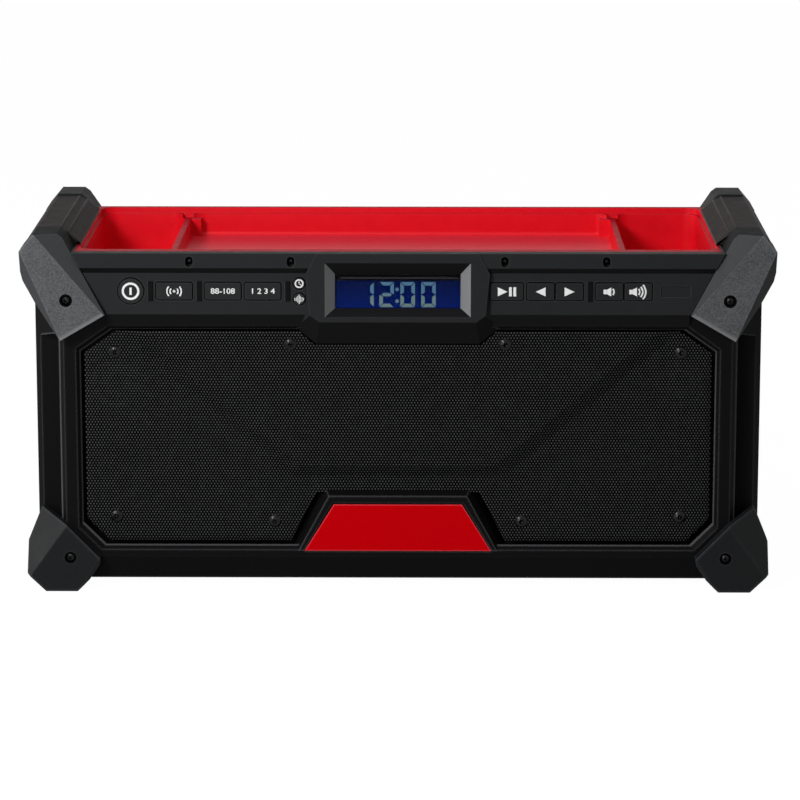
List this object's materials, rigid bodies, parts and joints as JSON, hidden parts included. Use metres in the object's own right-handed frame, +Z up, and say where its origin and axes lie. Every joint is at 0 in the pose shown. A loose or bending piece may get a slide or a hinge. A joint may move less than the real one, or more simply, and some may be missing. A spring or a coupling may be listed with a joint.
{
  "type": "jobsite radio",
  "caption": "Rugged box radio with corner bumpers, rail handles, an open tool tray, a key panel with a display, a speaker grille and a battery bay.",
  "frame": {"origin": "on the ground under the middle of the radio's bounding box", "axes": "+Z up, +X to the right seen from the front, the front faces -Y"},
  "size_m": [0.4, 0.184, 0.194],
  "materials": {
    "housing_black": "fine-textured glass-filled nylon, near black",
    "panel_black": "textured dark grey panel plastic",
    "bumper_grey": "grained overmoulded rubber, dark grey",
    "bumper_dark": "smoother dark rubber of the lower bumpers",
    "grip_rubber": "grey rubber sleeve with two fine ridges",
    "key_grey": "dark grey key caps with light printed signs",
    "tray_red": "red satin plastic",
    "badge_red": "red gloss plate, bare",
    "grille_steel": "black powder-coated perforated sheet",
    "window_clear": "clear acrylic pane",
    "lcd_blue": "blue backlit display",
    "board_green": "circuit board",
    "steel_bright": "bright steel",
    "screw_black": "black oxide steel screws",
    "magnet_iron": "ferrite and iron",
    "cone_paper": "coated paper cone",
    "seal_rubber": "black soft rubber",
    "sink_aluminium": "extruded aluminium",
    "contact_plastic": "black contact and socket plastic",
    "pack_plastic": "battery pack casing"
  },
  "bodies": {
    "radio": {"aux_socket": "contact_plastic", "badge_plate": "badge_red", "bumper_screws": "screw_black", "button_board": "board_green", "control_panel": "panel_black", "dc_inlet": "contact_plastic", "display_window": "window_clear", "door_seal": "seal_rubber", "front_bottom_left_bumper": "bumper_dark", "front_bottom_right_bumper": "bumper_dark", "front_housing": "housing_black", "front_top_left_bumper": "bumper_grey", "front_top_right_bumper": "bumper_grey", "grille_screws": "screw_black", "heat_sink": "sink_aluminium", "hinge_pin": "steel_bright", "housing_screws": "screw_black", "lcd_module": "lcd_blue", "left_grip": "grip_rubber", "left_handle_bar": "steel_bright", "left_tweeter": "cone_paper", "left_woofer_frame": "screw_black", "left_woofer_magnet": "magnet_iron", "left_woofer_surround": "seal_rubber", "main_board": "board_green", "panel_screws": "screw_black", "rear_bottom_left_bumper": "bumper_dark", "rear_bottom_right_bumper": "bumper_dark", "rear_housing": "housing_black", "rear_top_left_bumper": "bumper_grey", "rear_top_right_bumper": "bumper_grey", "right_grip": "grip_rubber", "right_handle_bar": "steel_bright", "right_tweeter": "cone_paper", "right_woofer_frame": "screw_black", "right_woofer_magnet": "magnet_iron", "right_woofer_surround": "seal_rubber", "speaker_grille": "grille_steel", "speaker_screws": "screw_black", "tact_switches": "contact_plastic", "terminal_block": "contact_plastic", "top_tray": "tray_red", "usb_socket": "steel_bright"},
    "battery_door": {"battery_door": "housing_black"},
    "door_latch": {"door_latch": "panel_black"},
    "battery_pack": {"battery_pack": "pack_plastic"},
    "port_flap": {"port_flap": "seal_rubber"},
    "left_cone": {"left_woofer_cone": "cone_paper"},
    "right_cone": {"right_woofer_cone": "cone_paper"},
    "band_button": {"band_button": "key_grey"},
    "clock_button": {"clock_button": "key_grey"},
    "equalizer_button": {"equalizer_button": "key_grey"},
    "next_button": {"next_button": "key_grey"},
    "play_pause_button": {"play_pause_button": "key_grey"},
    "power_button": {"power_button": "key_grey"},
    "preset_button": {"preset_button": "key_grey"},
    "previous_button": {"previous_button": "key_grey"},
    "volume_down_button": {"volume_down_button": "key_grey"},
    "volume_up_button": {"volume_up_button": "key_grey"},
    "wireless_button": {"wireless_button": "key_grey"}
  },
  "joints": [
    {"name": "band_press", "type": "slide", "parent": "radio", "child": "band_button", "axis": [0, 1, 0], "range_m": [0, 0.0008], "stiffness_N_per_m": 2500},
    {"name": "clock_press", "type": "slide", "parent": "radio", "child": "clock_button", "axis": [0, 1, 0], "range_m": [0, 0.0008], "stiffness_N_per_m": 2500},
    {"name": "equalizer_press", "type": "slide", "parent": "radio", "child": "equalizer_button", "axis": [0, 1, 0], "range_m": [0, 0.0008], "stiffness_N_per_m": 2500},
    {"name": "next_press", "type": "slide", "parent": "radio", "child": "next_button", "axis": [0, 1, 0], "range_m": [0, 0.0008], "stiffness_N_per_m": 2500},
    {"name": "play_pause_press", "type": "slide", "parent": "radio", "child": "play_pause_button", "axis": [0, 1, 0], "range_m": [0, 0.0008], "stiffness_N_per_m": 2500},
    {"name": "power_press", "type": "slide", "parent": "radio", "child": "power_button", "axis": [0, 1, 0], "range_m": [0, 0.0008], "stiffness_N_per_m": 2500},
    {"name": "preset_press", "type": "slide", "parent": "radio", "child": "preset_button", "axis": [0, 1, 0], "range_m": [0, 0.0008], "stiffness_N_per_m": 2500},
    {"name": "previous_press", "type": "slide", "parent": "radio", "child": "previous_button", "axis": [0, 1, 0], "range_m": [0, 0.0008], "stiffness_N_per_m": 2500},
    {"name": "volume_down_press", "type": "slide", "parent": "radio", "child": "volume_down_button", "axis": [0, 1, 0], "range_m": [0, 0.0008], "stiffness_N_per_m": 2500},
    {"name": "volume_up_press", "type": "slide", "parent": "radio", "child": "volume_up_button", "axis": [0, 1, 0], "range_m": [0, 0.0008], "stiffness_N_per_m": 2500},
    {"name": "wireless_press", "type": "slide", "parent": "radio", "child": "wireless_button", "axis": [0, 1, 0], "range_m": [0, 0.0008], "stiffness_N_per_m": 2500},
    {"name": "door_hinge", "type": "hinge", "parent": "radio", "child": "battery_door", "pos_m": [-0.11, 0.088, 0.086], "axis": [0, 0, 1], "range_deg": [0, 110]},
    {"name": "latch_turn", "type": "hinge", "parent": "battery_door", "child": "door_latch", "pos_m": [0.091, 0.0806, 0.086], "axis": [0, -1, 0], "range_deg": [0, 90]},
    {"name": "battery_slide", "type": "slide", "parent": "radio", "child": "battery_pack", "axis": [1, 0, 0], "range_m": [0, 0.062]},
    {"name": "flap_hinge", "type": "hinge", "parent": "radio", "child": "port_flap", "pos_m": [0.138, 0.0864, 0.0842], "axis": [1, 0, 0], "range_deg": [0, 120]},
    {"name": "left_cone_throw", "type": "slide", "parent": "radio", "child": "left_cone", "axis": [0, 1, 0], "range_m": [-0.0015, 0.0015], "stiffness_N_per_m": 1500, "deforming": ["left_woofer_surround"]},
    {"name": "right_cone_throw", "type": "slide", "parent": "radio", "child": "right_cone", "axis": [0, 1, 0], "range_m": [-0.0015, 0.0015], "stiffness_N_per_m": 1500, "deforming": ["right_woofer_surround"]}
  ]
}
